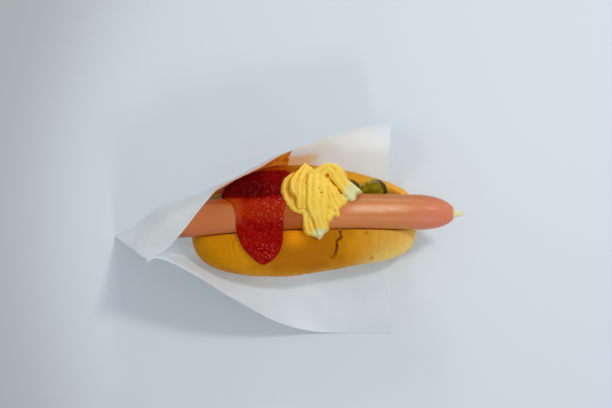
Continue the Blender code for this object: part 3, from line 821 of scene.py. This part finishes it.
def casing(place):
    x, y, z = (place.axis(i) for i in range(3))
    broad = place.noise(26, 2, (1.6, 1, 1))
    fine = place.noise(1.4, 3, (5, 1, 1))
    specks = place.noise(0.8)
    pink = x.rise(48, 96) * 0.85 + (broad - 0.5) * 1.4
    body = pink.rise(0.0, 1.0).mix(SKIN_ORANGE, SKIN_PINK)
    body = ((1 - x.rise(-60, -18)) * 0.65).mix(body, SKIN_BROWN)
    # Browner on the lower side: painted shade.
    body = ((1 - z.rise(26, 42)) * 0.6).mix(body, SKIN_BROWN)
    body = (specks.rise(0.6, 0.75) * 0.25).mix(body, SKIN_BROWN)
    # A film of ketchup on the far side at the left; between the ketchup and the mustard the same dark
    # orange is partly a ketchup film, partly painted shade under the two sauces.
    smear = (1 - x.rise(-46, -42)) * x.rise(-72, -62) * y.rise(5, 8.5)
    dripped = x.rise(-16, -13) * (1 - x.rise(4, 10))
    stained = smear.maths("MAXIMUM", smear, dripped)
    body = (stained * 0.9).mix(body, SKIN_SMEAR)
    # Darker tan on the far side at the right: painted shade.
    body = (y.rise(5, 13) * x.rise(20, 34) * 0.75).mix(body, SKIN_TAN)
    # A painted highlight: a pale streak along the top of the casing.
    across = place.maths("ABSOLUTE", y - STREAK_Y + (broad - 0.5) * 4)
    streak = x.rise(22, 38) * (1 - x.rise(54, 78)) * (1 - across.rise(0, 4))
    body = (streak * (0.2 + 1.1 * fine)).mix(body, SKIN_PALE)
    tail = x.rise(96.4, 98)
    return place.surface({
        "Base Color": tail.mix(body, CASING_TAIL),
        "Roughness": 0.27 + 0.14 * broad,
        "Normal": (fine + 0.5 * specks).bump(0.06, 0.6),
        **lit_through(0.12, (1, 0.35, 0.2), 2.5),
        "Specular IOR Level": 0.2,
    })


sausage = skin("sausage_in_casing", sausage_rows())
push(sausage, casing_relief)
sausage.data.materials.append(material("sausage casing", casing))
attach(sausage, "root")
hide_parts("sausage")

# Pickle slices
# Two round slices of pickled cucumber with a dark bumpy rind, wet and a little see-through.
# They lean on the slope of the slit behind the sausage.
PICKLE_RADIUS = 8.7
PICKLE_THICKNESS = 2.6
PICKLE_PLACES = ((29.0, 18.4, 30.9), (46.6, 18.2, 30.9))
PICKLE_SEGMENTS = 96
PICKLE_RINGS = 26
FLESH_OLIVE = colour(174, 160, 22)
FLESH_DARK = colour(130, 112, 4)
RIND_GREEN = colour(76, 68, 20)
SEED_PALE = colour(190, 182, 90)


def pickle_rows():
    """The slice as rings, from the middle of its lower face round the rind to that of its upper face."""
    rows = []
    half = PICKLE_THICKNESS / 2
    for k in range(PICKLE_RINGS):
        f = k / (PICKLE_RINGS - 1)
        turn = pi * f
        radius = PICKLE_RADIUS * (0.04 + 0.96 * sin(turn) ** 0.35)
        z = -half * copysign(abs(cos(turn)) ** 0.55, cos(turn))
        row = []
        for i in range(PICKLE_SEGMENTS):
            a = 2 * pi * i / PICKLE_SEGMENTS
            bumps = 1 + 0.02 * cos(11 * a) + 0.012 * cos(23 * a + 1)
            hollow = 0.22 * cos(3 * a) * (radius / PICKLE_RADIUS) ** 2
            row.append(Vector((radius * bumps * cos(a), radius * bumps * sin(a), z + hollow)))
        rows.append(row)
    return rows


def pickled(place):
    """Works in each slice's own frame, whose Z is the slice's axis."""
    flat = place.node("ShaderNodeVectorMath", {"operation": "MULTIPLY"}, {0: place, 1: (1, 1, 0)})
    out = flat.node("ShaderNodeVectorMath", {"operation": "LENGTH"}, {0: flat}, 1)
    blotches = place.noise(3.2, 3)
    fine = place.noise(0.8)
    seeds = place.node("ShaderNodeTexVoronoi", None, {"Vector": place, "Scale": 0.52})
    seeded = (1 - seeds.rise(0.12, 0.3)) * (1 - out.rise(4.4, 5.6)) * out.rise(1.5, 2.6)
    flesh = blotches.rise(0.35, 0.68).mix(FLESH_DARK, FLESH_OLIVE)
    flesh = (0.6 * seeded).mix(flesh, SEED_PALE)
    rind = (out + (blotches - 0.5) * 1.6 + 0.42 * place.axis(0)).rise(8.2, 9.4)
    return place.surface({
        "Base Color": rind.mix(flesh, RIND_GREEN),
        "Roughness": 0.2 + 0.15 * blotches,
        "Normal": (fine + seeded).bump(0.15, 0.6),
        **lit_through(0.25, (0.8, 1, 0.3), 2),
    })


pickle_finish = material("pickled cucumber", pickled)
for i, (x, y, z) in enumerate(PICKLE_PLACES):
    pickle = skin(f"cucumber_slice_{i + 1}", pickle_rows())
    pickle.location = Vector((x, y, z)) * MM
    pickle.rotation_euler = (atan(SLIT_FAR_SLOPE), 0, 0)
    pickle.data.materials.append(pickle_finish)
    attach(pickle, "root")
    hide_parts(f"pickle_slice_{i + 1}")

# Ketchup
# Thick pulpy ketchup spooned across the sausage: a pool in the slit behind it, a thin coat over it,
# and a round tongue that hangs over the near crust.

# From the far end to the near end: y, and the x of the left and right edges
KETCHUP_EDGES = (
    (32, -24, -11), (28, -38, -9), (21, -50.5, -8.5), (14, -54.5, -9.5), (8, -47, -11.5), (0, -43.8, -13),
    (-9, -43.6, -13.4), (-16, -42, -14), (-22, -38.4, -15.6), (-27, -33.6, -18.8), (-31, -28.5, -25),
)
KETCHUP_ON_SAUSAGE = 1.5
KETCHUP_ON_CRUST = 3.6
KETCHUP_THINNEST = 0.3
KETCHUP_THICKENS_ALONG = (-6, -12)
KETCHUP_FILLET = 3
KETCHUP_POOL_LEVEL = 39.5
KETCHUP_POOL_STARTS_ALONG = (3, 12)
KETCHUP_POOL_BLEND = 9
KETCHUP_STATIONS = 190
KETCHUP_ACROSS = 130
KETCHUP_SUNK = 1.2
KETCHUP_EDGE_WANDER = 0.5
KETCHUP_EDGE_WAVE = 3.5
PULP_LUMPS = ((0.22, 4.5), (0.08, 0.8))
PULP_GRAIN_SIZE = 1.5
PULP_GRAIN_DEPTH = 0.48
KETCHUP_RED = colour(162, 12, 0)
KETCHUP_DARK = colour(142, 2, 0)
KETCHUP_POOL = colour(96, 0, 0)
KETCHUP_THIN = colour(170, 42, 0)
PULP_PALE = colour(220, 100, 76)
KETCHUP_SMEAR = colour(186, 72, 18)


def smooth_max(a, b, blend):
    h = max(blend - abs(a - b), 0.0) / blend
    return max(a, b) + h * h * blend / 4


def sausage_top(x, y):
    side, height = sausage_axis(x)
    reach = SAUSAGE_RADIUS**2 - (y - side) ** 2
    return height + sqrt(reach) if reach > 0 else 0.0


def ketchup_ground(x, y):
    """The bun under the ketchup, with its slit's slope behind the sausage."""
    side, height = sausage_axis(x)
    slope = height - SAUSAGE_RADIUS - SLIT_FOOT_DROP + max(0.0, y - side - SLIT_FOOT_OUT) * SLIT_FAR_SLOPE
    return min(crust_height(x, y), slope) if y > side else crust_height(x, y)


def ketchup_rows():
    rows = []
    for station in range(KETCHUP_STATIONS):
        t = station / (KETCHUP_STATIONS - 1)
        y, left, right = along(KETCHUP_EDGES, t)
        left += KETCHUP_EDGE_WANDER * noise(Vector((y / KETCHUP_EDGE_WAVE, 1.7, 0)))
        right += KETCHUP_EDGE_WANDER * noise(Vector((y / KETCHUP_EDGE_WAVE, 8.3, 0)))
        tops = []
        unders = []
        for i in range(KETCHUP_ACROSS + 1):
            s = i / KETCHUP_ACROSS
            x = left + (right - left) * (0.5 - 0.5 * cos(pi * s))
            ends = smoothstep(-0.02, 0.1, t) * smoothstep(1.01, 0.86, t)
            share = min(1.0, (1 - (2 * s - 1) ** 4) * ends) ** 0.5
            base = smooth_max(sausage_top(x, y), ketchup_ground(x, y), KETCHUP_FILLET)
            coat = KETCHUP_ON_SAUSAGE
            coat += (KETCHUP_ON_CRUST - KETCHUP_ON_SAUSAGE) * smoothstep(*KETCHUP_THICKENS_ALONG, y)
            level = base + coat
            if y > KETCHUP_POOL_STARTS_ALONG[0]:
                blend = 0.1 + KETCHUP_POOL_BLEND * smoothstep(*KETCHUP_POOL_STARTS_ALONG, y)
                level = smooth_max(level, KETCHUP_POOL_LEVEL, blend)
            tops.append(Vector((x, y, base + KETCHUP_THINNEST + (level - base) * share)))
            unders.append(Vector((x, y, base - KETCHUP_SUNK)))
        rows.append(tops + unders[::-1])
    return rows


def pulp(point):
    """Soft lumps of pulp under a wet surface."""
    grains = max(0.0, noise(point / PULP_GRAIN_SIZE)) ** 1.3
    return lumps(point, PULP_LUMPS) + PULP_GRAIN_DEPTH * grains


def tomato(place):
    x, y = (place.axis(i) for i in range(2))
    blotches = place.noise(5, 3)
    grains = place.noise(1.3, 3)
    fine = place.noise(0.5)
    body = blotches.rise(0.35, 0.7).mix(KETCHUP_DARK, KETCHUP_RED)
    # Darker red behind the sausage, most at the left: painted shade of the standing paper over the pool.
    body = (y.rise(6, 16) * (1 - 0.6 * x.rise(-32, -17))).mix(body, KETCHUP_POOL)
    wet = grains.rise(0.55, 0.64)
    thin = (1 - y.rise(7, 12)) * y.rise(-6, 0) * (0.35 + 0.5 * grains)
    body = thin.mix(body, KETCHUP_THIN)
    smeared = (1 - (x + (grains - 0.5) * 4).rise(-44, -37)) * y.rise(-9, -2)
    body = (0.8 * smeared * (1 - y.rise(9, 12))).mix(body, KETCHUP_SMEAR)
    # Pale specks on the grains, thickest on top of the sausage and on the tongue: painted glints.
    pulpy = place.near((-22, 4, 47), 17)
    low = place.near((-25, -24, 36), 12)
    specks = grains.rise(0.58, 0.68) * (0.05 + 0.85 * pulpy.maths("MAXIMUM", pulpy, low))
    body = specks.mix(body, PULP_PALE)
    return place.surface({
        "Base Color": body,
        "Roughness": 0.3 + 0.14 * grains,
        "Normal": (grains + 0.4 * fine).bump(0.14, 0.6),
        **lit_through(0.1, (1, 0.15, 0.05), 1.5),
        "Specular IOR Level": 0.02,
        "Coat Weight": 0.65 * wet,
        "Coat Roughness": 0.06,
    })


ketchup = skin("ketchup_spread", ketchup_rows())
push(ketchup, pulp)
ketchup.data.materials.append(material("wet ketchup", tomato))
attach(ketchup, "root")
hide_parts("ketchup")

# Mustard sauce
# A creamy yellow sauce piped from a star nozzle in broad leaves, one over another, beside the ketchup.
# The nozzle's teeth left soft ridges along each leaf, and the leaves' ends are torn.

# Each leaf: its outline as (x, y), its spine as (x, y, z), how far its edge is rounded, and its ridges,
# each with a line, a height (below 0 for a groove) and a half width
LEAVES = ((
    (
        (-3, 29.5), (-8.5, 27.5), (-13.5, 22.5), (-14.5, 15.5), (-12, 7.5), (-7, 2), (-1, 0), (2, 0.5),
        (2, 8), (0.5, 16), (-0.5, 24),
    ),
    ((-10, 21, 46), (-10, 15.5, 47), (-8.5, 9.5, 48.5), (-5, 4, 50), (0, 2.5, 50.5)), 2.4, (
        (((-9, 25.5), (-12, 21), (-12.5, 15.5), (-11.5, 10), (-8, 5), (-3, 2)), 0.35, 1.1),
        (((-11, 16.5), (-8.5, 13), (-5, 10.5)), -0.9, 0.9),
        (((-4.5, 10), (-5, 6), (-3.5, 2.5)), -0.6, 0.8),
    ),
), (
    (
        (0.5, 34), (2.5, 32.5), (6, 30), (7, 25), (4, 13), (3, 4), (-2, 3), (-4.5, 4), (-5, 10.5),
        (-8.5, 14.5), (-9, 20), (-6.5, 25), (-2, 30.5), (-0.5, 33),
    ),
    ((0.5, 32, 47.5), (-1.5, 27.5, 51), (-2.5, 20.5, 53.5), (-1.5, 11, 54), (-1, 4, 52)), 1.7, (
        (((0, 33), (-3, 28.5), (-7, 23), (-8, 18.5), (-7.5, 15), (-5, 12)), 0.9, 0.8),
        (((0.5, 30.5), (-3, 24.5), (-5, 19.5), (-5.5, 15), (-4, 11.5)), -0.8, 0.7),
        (((2, 30.5), (-0.5, 25.5), (-2.5, 19.5), (-3, 13), (-3, 3.5)), 0.7, 0.9),
        (((3.5, 29), (0.5, 22), (-1, 16), (-1, 3.5)), -0.5, 0.6),
    ),
), (
    (
        (3, 26), (1.5, 20), (1.5, 12), (1.5, 5), (3.5, 0), (6, -4), (8, -10), (10, -14.5), (13.5, -10.5),
        (15.5, -8.5), (15.5, -3), (15.5, 5), (15.5, 13), (16.5, 20), (15, 26), (8, 28),
    ),
    (
        (8.5, 24.5, 56), (8, 18, 56.5), (8, 10.5, 56), (8.5, 3.5, 54), (10, -1.5, 51), (11, -6.5, 47.5),
        (11, -11.5, 43.5),
    ), 2.2, (
        (((4, 24.5), (3, 20), (2.5, 8.5), (3.5, 2.5), (5.5, -1.5), (8, -6.5), (9.5, -13)), 0.9, 0.85),
        (((6, 23.5), (5, 16), (5, 7), (6, 0.5), (8.5, -4.5), (10.5, -11)), -0.6, 0.6),
        (((8, 23.5), (7.5, 16), (7.5, 7), (9, 0.5), (11, -5.5), (12.5, -10)), 0.5, 0.8),
        (((10, 22.5), (10, 14), (10, 3.5), (12, -4), (14, -9.5)), -0.5, 0.55),
        (((12.5, 21.5), (12.5, 12.5), (12.5, 3.5), (14, -6.5)), 0.7, 0.9),
    ),
), (
    (
        (-1, 1), (-0.5, -3), (0, -7), (1.5, -11), (5, -12.5), (8, -13.5), (10, -14.5), (10, -10.5),
        (8, -5.5), (5.5, -1), (3, 2.5), (0.5, 3),
    ),
    ((1.5, 0.5, 50), (3, -4.5, 47), (5, -9, 44), (8.5, -13, 41.5)), 1.6, (
        (((0.5, -0.5), (1, -6.5), (3, -11)), 0.5, 0.7),
        (((2.5, -2), (3, -7), (4.5, -11)), -0.8, 0.7),
        (((4, -3), (5.5, -8), (7.5, -12.5)), 0.5, 0.6),
    ),
), (
    (
        (14, 24.5), (17.5, 20), (20.5, 17), (23, 13), (27.5, 9.5), (26.5, 6.5), (23, 4), (22.5, 2),
        (23, -1), (21.5, -1.5), (19.5, -1), (15.5, -4.5), (14, -1), (13.5, 9.5), (13, 20.5),
    ),
    ((15, 21, 54), (19, 13, 53.5), (20.5, 5.5, 52), (19.5, -0.5, 50.5)), 1.3, (
        (((16.5, 20.5), (21.5, 14), (26, 8)), 0.6, 0.8),
        (((16.5, 19), (20.5, 11.5), (24.5, 5.5)), -0.35, 0.5),
        (((16, 19), (19.5, 11.5), (22.5, 4.5)), 0.6, 0.8),
        (((16, 17.5), (18.5, 10), (22, 2.5)), -0.35, 0.5),
        (((15.5, 17.5), (17.5, 9), (22, 0)), 0.6, 0.8),
        (((15.5, 3.5), (17.5, 3), (20.5, 0.5)), -1.2, 0.8),
    ),
), (
    (
        (4, 25.5), (8, 28.5), (12, 31), (16.5, 32), (21, 31), (24.5, 28), (26, 24), (28, 21.5), (32, 19),
        (36, 16.5), (36.5, 15), (33.5, 13), (33.5, 10.5), (32, 9), (28, 9.5), (23.5, 14.5), (18, 20.5),
        (14, 24), (8, 22.5),
    ),
    (
        (8, 24.5, 56), (11.5, 27.5, 56.5), (16.5, 29, 57), (20.5, 27.5, 56.5), (22.5, 23.5, 55.5),
        (26, 19, 53.5), (30, 14.5, 51), (34, 12.5, 49),
    ), 1.9, (
        (((7, 25.5), (11, 28.5), (16.5, 30.5), (20.5, 29), (23, 26.5), (26, 22), (35, 15)), 0.9, 0.9),
        ((
            (9.5, 24.5), (12.5, 27.5), (16.5, 28.5), (19.5, 27.5), (22, 23.5), (25.5, 18.5), (33, 11.5),
        ), -0.7, 0.6),
        (((11.5, 24), (14.5, 26.5), (16.5, 27), (19, 25), (21, 21), (24.5, 16.5), (30, 9.5)), 0.8, 0.9),
    ),
))
LEAF_GRID = ((-17, 39), (-17, 36))
LEAF_STEP = 0.3
LEAF_RIM_STEPS = 130
LEAF_SPINE_STEPS = 40
LEAF_DOME = 0.022
LEAF_FALL = 5
LEAF_BLEND = 0.3
LEAF_SUNK = 1.4
HOLLOW_BLUR = 5
HOLLOW_CONTRAST = 5
RIDGE_SHARE = 0.62
AIR_HOLES = ((14.9, 23.4, 0.9, 2.4), (11.0, 12.4, 0.7, 1.6), (9.7, 15.0, 0.45, 0.7), (11.1, 9.3, 0.4, 0.6))
SAUCE_LUMPS = ((0.16, 3.2), (0.05, 1.1))
CREAM_YELLOW = colour(250, 208, 72)
CREAM_DEEP = colour(232, 164, 14)
CREAM_PALE = colour(222, 218, 160)


def nearest(places, line):
    """For each place its distance from a line of points, and the share along the line nearest to it."""
    gaps = np.full(len(places), 1000.0)
    shares = np.zeros(len(places))
    for i, (a, b) in enumerate(zip(line, line[1:])):
        step = b - a
        f = np.clip((places - a) @ step / (step @ step), 0, 1)
        gap = np.linalg.norm(places - a - f[:, None] * step, axis=1)
        shares = np.where(gap < gaps, (i + f) / (len(line) - 1), shares)
        gaps = np.minimum(gap, gaps)
    return gaps, shares


def enclosed(places, outline):
    """Whether each place lies inside a closed outline."""
    crossings = np.zeros(len(places), dtype=np.int64)
    for (x0, y0), (x1, y1) in zip(outline, outline[1:]):
        spans = (y0 > places[:, 1]) != (y1 > places[:, 1])
        crossings += spans & (places[:, 0] < x0 + (places[:, 1] - y0) * (x1 - x0) / ((y1 - y0) or 1e-9))
    return crossings % 2 == 1


def leaf_heights(places, outline, spine, edge, ridges):
    """The height of a leaf over each place, falling steeply outside its outline."""
    rim = np.array(curve(outline + outline[:1], LEAF_RIM_STEPS))
    gaps = nearest(places, rim)[0]
    tears = np.array([noise(Vector((x, y, edge)) / 1.6) for x, y in places])
    depth = (np.where(enclosed(places, rim), gaps, -gaps) + 0.4 * tears) / edge
    rounding = 1 - np.sqrt(1 - (1 - np.clip(depth, 0, 1)) ** 2) + LEAF_FALL * np.maximum(-depth, 0)
    middle = np.array(curve(spine, LEAF_SPINE_STEPS))
    gaps, shares = nearest(places, middle[:, :2])
    heights = np.interp(shares, np.linspace(0, 1, LEAF_SPINE_STEPS), middle[:, 2])
    heights -= LEAF_DOME * gaps**2 + edge * rounding
    soft = np.array([noise(Vector((x, y, 2 * edge)) / 3.4) for x, y in places])
    for line, height, half_width in ridges:
        gaps = nearest(places, np.array(curve(line, LEAF_SPINE_STEPS)))[0] + 0.3 * tears
        heights += RIDGE_SHARE * height * (1 + 1.3 * soft) * np.exp(-((gaps / half_width) ** 2))
    return heights


def drop_loose(shape):
    """Deletes the points that no face uses."""
    loose = [corner for corner in shape.verts if not corner.link_faces]
    bmesh.ops.delete(shape, geom=loose, context="VERTS")


def swirl():
    """One closed skin: the leaves above, and a hidden underside just inside what the sauce lies on."""
    (left, right), (near_end, far_end) = LEAF_GRID
    xs = np.arange(left, right, LEAF_STEP)
    ys = np.arange(near_end, far_end, LEAF_STEP)
    places = np.array([(x, y) for x in xs for y in ys])
    unders = [max(sausage_top(x, y), ketchup_ground(x, y)) for x, y in places]
    unders = np.array(unders) - LEAF_SUNK
    tops = np.full(len(places), -100.0)
    for outline, spine, edge, ridges in LEAVES:
        heights = leaf_heights(places, outline, spine, edge, ridges)
        close = np.clip(LEAF_BLEND - np.abs(tops - heights), 0, None) / LEAF_BLEND
        tops = np.maximum(tops, heights) + close**2 * LEAF_BLEND / 4
    filled = tops > unders
    low = np.column_stack((places, unders))
    high = np.column_stack((places, tops))[filled]
    above = np.arange(len(places))
    above[filled] = len(low) + np.arange(len(high))
    faces = []
    for i in range(len(xs) - 1):
        for j in range(len(ys) - 1):
            corner = i * len(ys) + j
            corners = [corner, corner + len(ys), corner + len(ys) + 1, corner + 1]
            if filled[corners].any():
                faces += [above[corners].tolist(), corners[::-1]]
    mesh = bpy.data.meshes.new("mustard_swirl")
    mesh.from_pydata((np.concatenate((low, high)) * MM).tolist(), [], faces)
    reshape(mesh, drop_loose)
    return mesh


def sauce_relief(point):
    """Soft unevenness, and the air holes."""
    height = lumps(point, SAUCE_LUMPS)
    for x, y, radius, depth in AIR_HOLES:
        gap = (point.xy - Vector((x, y))).length
        height -= depth * exp(-((gap / radius) ** 2)) * smoothstep(44, 48, point.z)
    return height


def creamy(place):
    broad = place.noise(9)
    fine = place.noise(0.9, 3)
    left = 1 - place.axis(0).rise(-3, 5)
    hollow = place.mark("hollow")
    # Deeper orange-yellow low down, on the left and in the hollows between the ridges: painted shade, with
    # some random tone.
    deep = (1 - place.axis(2).rise(40, 50)) * 0.4 + 0.4 * left + (broad - 0.5) * 0.6 + hollow
    body = deep.rise(0.0, 1.0).mix(CREAM_YELLOW, CREAM_DEEP)
    right_end = place.near((31.5, 14, 47), 12)
    near_end = place.near((11, -12, 41), 8.5)
    pale = right_end.maths("MAXIMUM", right_end, near_end)
    return place.surface({
        "Base Color": pale.rise(0.1, 0.6).mix(body, CREAM_PALE),
        "Roughness": 0.36 + 0.14 * broad,
        "Normal": fine.bump(0.08, 0.5),
        **lit_through(0.22, (1, 0.7, 0.25), 2.2),
        "Specular IOR Level": 0.45,
    })


mustard = add("mustard_swirl", swirl())
soften = mustard.modifiers.new("soften", "SMOOTH")
soften.factor = 0.5
soften.iterations = 2
mustard.data = bpy.data.meshes.new_from_object(mustard.evaluated_get(bpy.context.evaluated_depsgraph_get()))
mustard.modifiers.clear()
push(mustard, sauce_relief)
edges = np.empty(2 * len(mustard.data.edges), dtype=np.int64)
mustard.data.edges.foreach_get("vertices", edges)
ends = edges.reshape(-1, 2)
places = np.empty(3 * len(mustard.data.vertices))
mustard.data.vertices.foreach_get("co", places)
places = places.reshape(-1, 3)
normals = np.array([vertex.normal for vertex in mustard.data.vertices])
neighbours = np.bincount(edges, minlength=len(places))


def summed(values):
    """For each point of the sauce, the sum of its neighbours' values."""
    total = np.zeros_like(values)
    for near, other in (ends.T, ends.T[::-1]):
        np.add.at(total, near, values[other])
    return total


# How far each point lies in a hollow, for the painted shade there.
bends = summed(places) - neighbours[:, None] * places
hollows = (bends * normals).sum(axis=1) / (neighbours * LEAF_STEP * MM)
for _ in range(HOLLOW_BLUR):
    hollows = (2 * hollows + summed(hollows)) / (neighbours + 2)
mark(mustard, "hollow", np.clip(hollows * HOLLOW_CONTRAST, -0.5, 0.9))
mustard.data.shade_smooth()
mustard.data.materials.clear()
mustard.data.materials.append(material("creamy mustard sauce", creamy))
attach(mustard, "root")
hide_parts("mustard_sauce")

# Table
# A smooth pale table top under the sleeve, painted dimmer towards the left and far from the right: a
# painted falloff of the lamps' light.
TABLE_SIZE = 6
TABLE_GREY = colour(214, 220, 225)
TABLE_DIM = colour(182, 185, 184)
TABLE_BRIGHT_AT = (60, 15, 0)
TABLE_BRIGHT_REACH = 340


def table_top(place):
    away = 1 - place.near(TABLE_BRIGHT_AT, TABLE_BRIGHT_REACH)
    leftward = 1 - place.axis(0).rise(-210, -40)
    return place.surface({
        "Base Color": (leftward * away.rise(0.6, 1.0)).mix(TABLE_GREY, TABLE_DIM),
        "Roughness": 0.5,
        "Specular IOR Level": 0.3,
    })


bpy.ops.mesh.primitive_plane_add(size=TABLE_SIZE, location=(0, 0, 0))
table = bpy.context.object
table.name = "table"
table.data.materials.append(material("pale table top", table_top))

# Light
# A soft lamp from the right and a little behind, a weaker one from behind, a faint one from the near right,
# and pale light from all round.
# Each lamp: its name, direction, distance, size, power and colour
LAMPS = (
    ("main lamp", (0.42, 0.30, 0.86), 1.0, 0.13, 2.7, (1.0, 0.97, 0.93)),
    ("far lamp", (0.05, 0.93, 0.34), 1.6, 0.5, 6.0, (0.95, 0.97, 1.0)),
    ("near lamp", (0.25, -0.76, 0.54), 1.7, 0.3, 4.3, (1.0, 0.98, 0.97)),
)
for name, direction, distance, size, power, tint in LAMPS:
    lamp = bpy.data.lights.new(name, "AREA")
    lamp.shape = "DISK"
    lamp.size = size
    lamp.energy = power
    lamp.color = tint
    holder = add(name, lamp)
    holder.location = Vector(direction).normalized() * distance
    holder.rotation_euler = Vector(direction).to_track_quat("Z", "Y").to_euler()
SKY_COLOUR = (0.84, 0.92, 1.0, 1.0)
SKY_STRENGTH = 0.60
sky = bpy.data.worlds.new("pale surroundings")
scene.world = sky
sky.use_nodes = True
background = sky.node_tree.nodes["Background"].inputs
background["Color"].default_value = SKY_COLOUR
background["Strength"].default_value = SKY_STRENGTH
scene.view_settings.view_transform = "Standard"

# Camera
# It looks down almost from above, leaning a little towards the near side.
CAMERA_TARGET = Vector((1.394, 14.862, 0)) * MM
CAMERA_ELEVATION = radians(80)
CAMERA_DISTANCE = 595 * MM
CAMERA_LENS = 50
lens = bpy.data.cameras.new("camera")
lens.lens = CAMERA_LENS
camera = add("camera", lens)
towards = Vector((0, -cos(CAMERA_ELEVATION), sin(CAMERA_ELEVATION)))
camera.location = CAMERA_TARGET + towards * CAMERA_DISTANCE
camera.rotation_euler = (-towards).to_track_quat("-Z", "Y").to_euler()
scene.camera = camera
